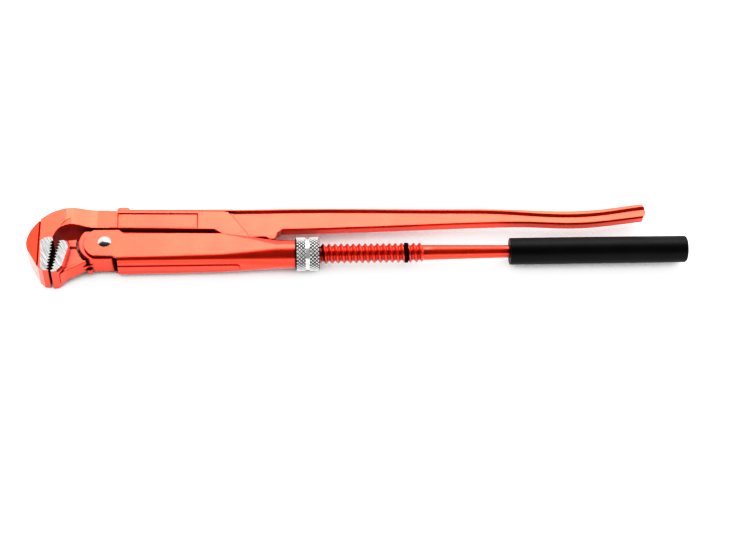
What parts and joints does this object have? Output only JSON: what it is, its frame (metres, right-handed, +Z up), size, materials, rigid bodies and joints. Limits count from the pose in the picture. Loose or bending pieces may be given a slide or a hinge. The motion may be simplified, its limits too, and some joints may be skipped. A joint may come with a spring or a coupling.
{
  "type": "pipe wrench",
  "caption": "Swedish-pattern corner pipe wrench: hook leg with threaded rod and knurled nut sliding through a channel housing, heel leg pivoted on a rivet, toothed jaws.",
  "frame": {"origin": "centre of the tool's outline in plan, on the surface it lies on", "axes": "+X along the threaded rod towards the grip, +Y across towards the upper leg, +Z up through the tool's thickness"},
  "size_m": [0.5564, 0.0698, 0.0288],
  "materials": {
    "red_enamel": "glossy enamel, bare ground steel on the jaw faces",
    "polished_steel": "polished",
    "bright_zinc": "bright zinc, diamond knurl",
    "black_steel": "black oxide",
    "black_rubber": "fine matt grain"
  },
  "bodies": {
    "housing": {"housing": "red_enamel", "pivot_pin": "polished_steel"},
    "heel_leg": {"heel_leg": "red_enamel"},
    "hook_leg": {"hook_leg": "red_enamel", "thread_stop_ring": "black_steel", "handle_grip": "black_rubber"},
    "adjusting_nut": {"adjusting_nut": "bright_zinc"}
  },
  "joints": [
    {"name": "heel_hinge", "type": "hinge", "parent": "housing", "child": "heel_leg", "pos_m": [-0.21317, -0.00455, 0.0144], "axis": [0, 0, 1], "range_deg": [0, 8]},
    {"name": "hook_slide", "type": "slide", "parent": "housing", "child": "hook_leg", "axis": [-1, 0, 0], "range_m": [0, 0.068]},
    {"name": "nut_spin", "type": "hinge", "parent": "housing", "child": "adjusting_nut", "pos_m": [-0.04417, -0.01205, 0.0144], "axis": [1, 0, 0], "range_deg": [0, 4820]}
  ],
  "couplings": [
    {"joint": "nut_spin", "follows": "hook_slide", "rad_per_m": 1236.8}
  ]
}
